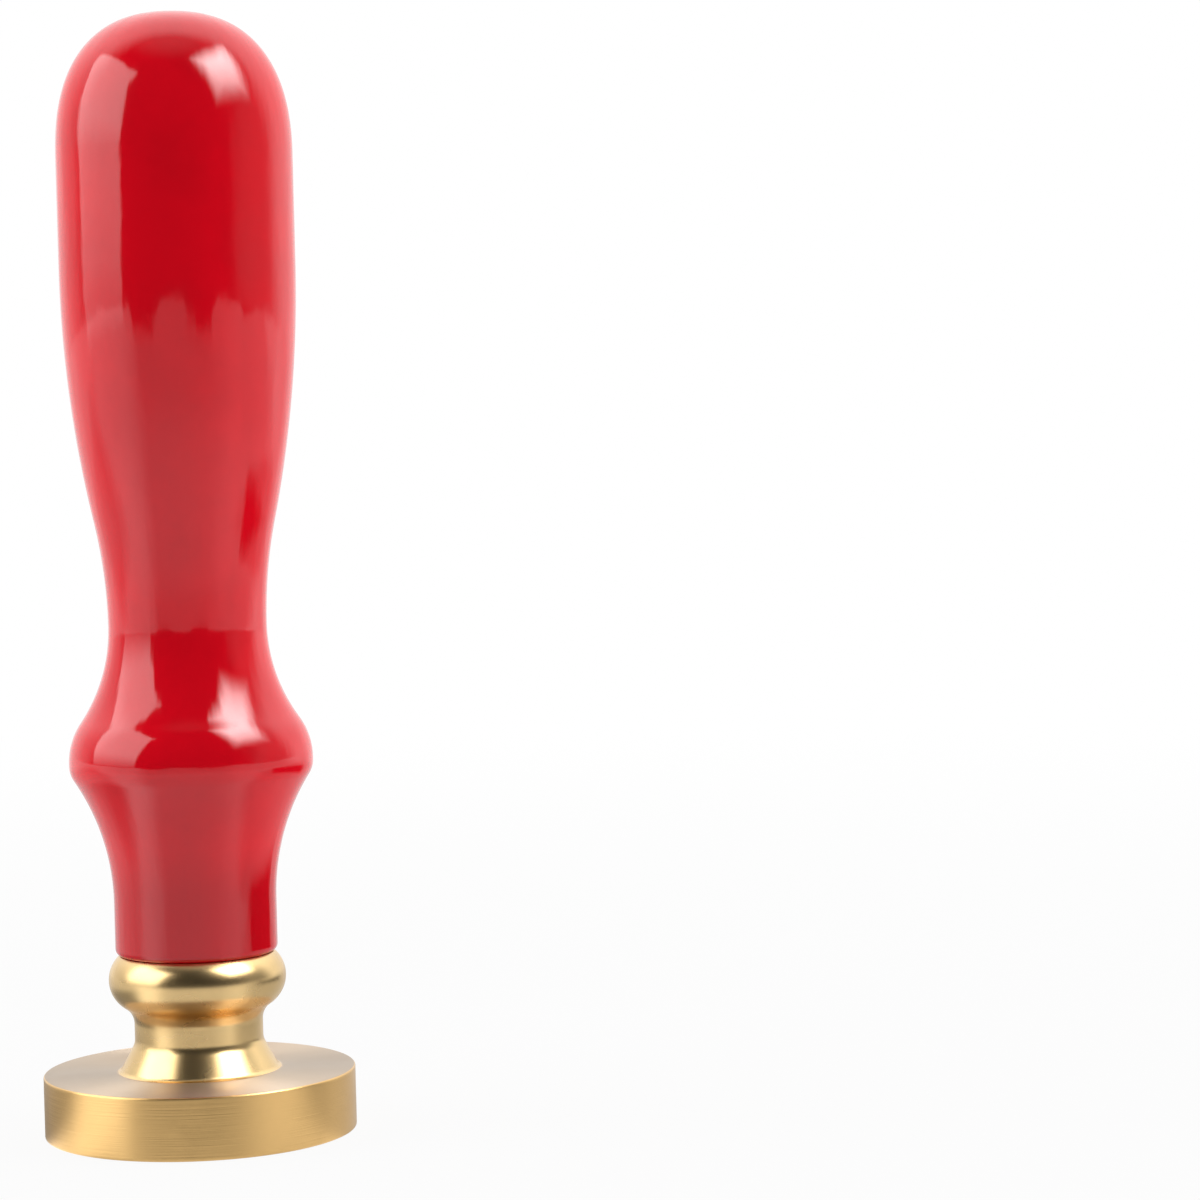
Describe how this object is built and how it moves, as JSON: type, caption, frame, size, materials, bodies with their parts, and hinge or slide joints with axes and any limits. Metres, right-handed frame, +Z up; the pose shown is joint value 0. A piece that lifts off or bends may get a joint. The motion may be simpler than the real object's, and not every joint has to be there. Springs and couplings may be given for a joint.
{
  "type": "wax seal stamp",
  "caption": "Wax seal stamp: a turned, lacquered wooden handle with a flanged waist and domed grip, screwed by a hidden stud onto a round brass head with an engraved face.",
  "frame": {"origin": "centre of the seal face, in the plane the stamp stands on", "axes": "+Z up along the common axis, from the seal face to the top of the handle; +X and +Y along long rays of the engraved star"},
  "size_m": [0.025, 0.025, 0.0897],
  "materials": {
    "brass": "turned, satin disc and polished neck",
    "plated_steel": "zinc plated",
    "lacquered_wood": "glossy red lacquer"
  },
  "bodies": {
    "head": {"seal_head": "brass"},
    "stud": {"stud": "plated_steel"},
    "handle": {"handle": "lacquered_wood"}
  },
  "joints": [
    {"name": "unscrew_lift", "type": "slide", "parent": "head", "child": "stud", "axis": [0, 0, 1], "range_m": [0, 0.008]},
    {"name": "unscrew_turn", "type": "hinge", "parent": "stud", "child": "handle", "pos_m": [0, 0, 0.0144], "axis": [0, 0, 1], "range_deg": [0, 2880]}
  ],
  "couplings": [
    {"joint": "unscrew_lift", "follows": "unscrew_turn", "m_per_rad": 0.00015915}
  ]
}
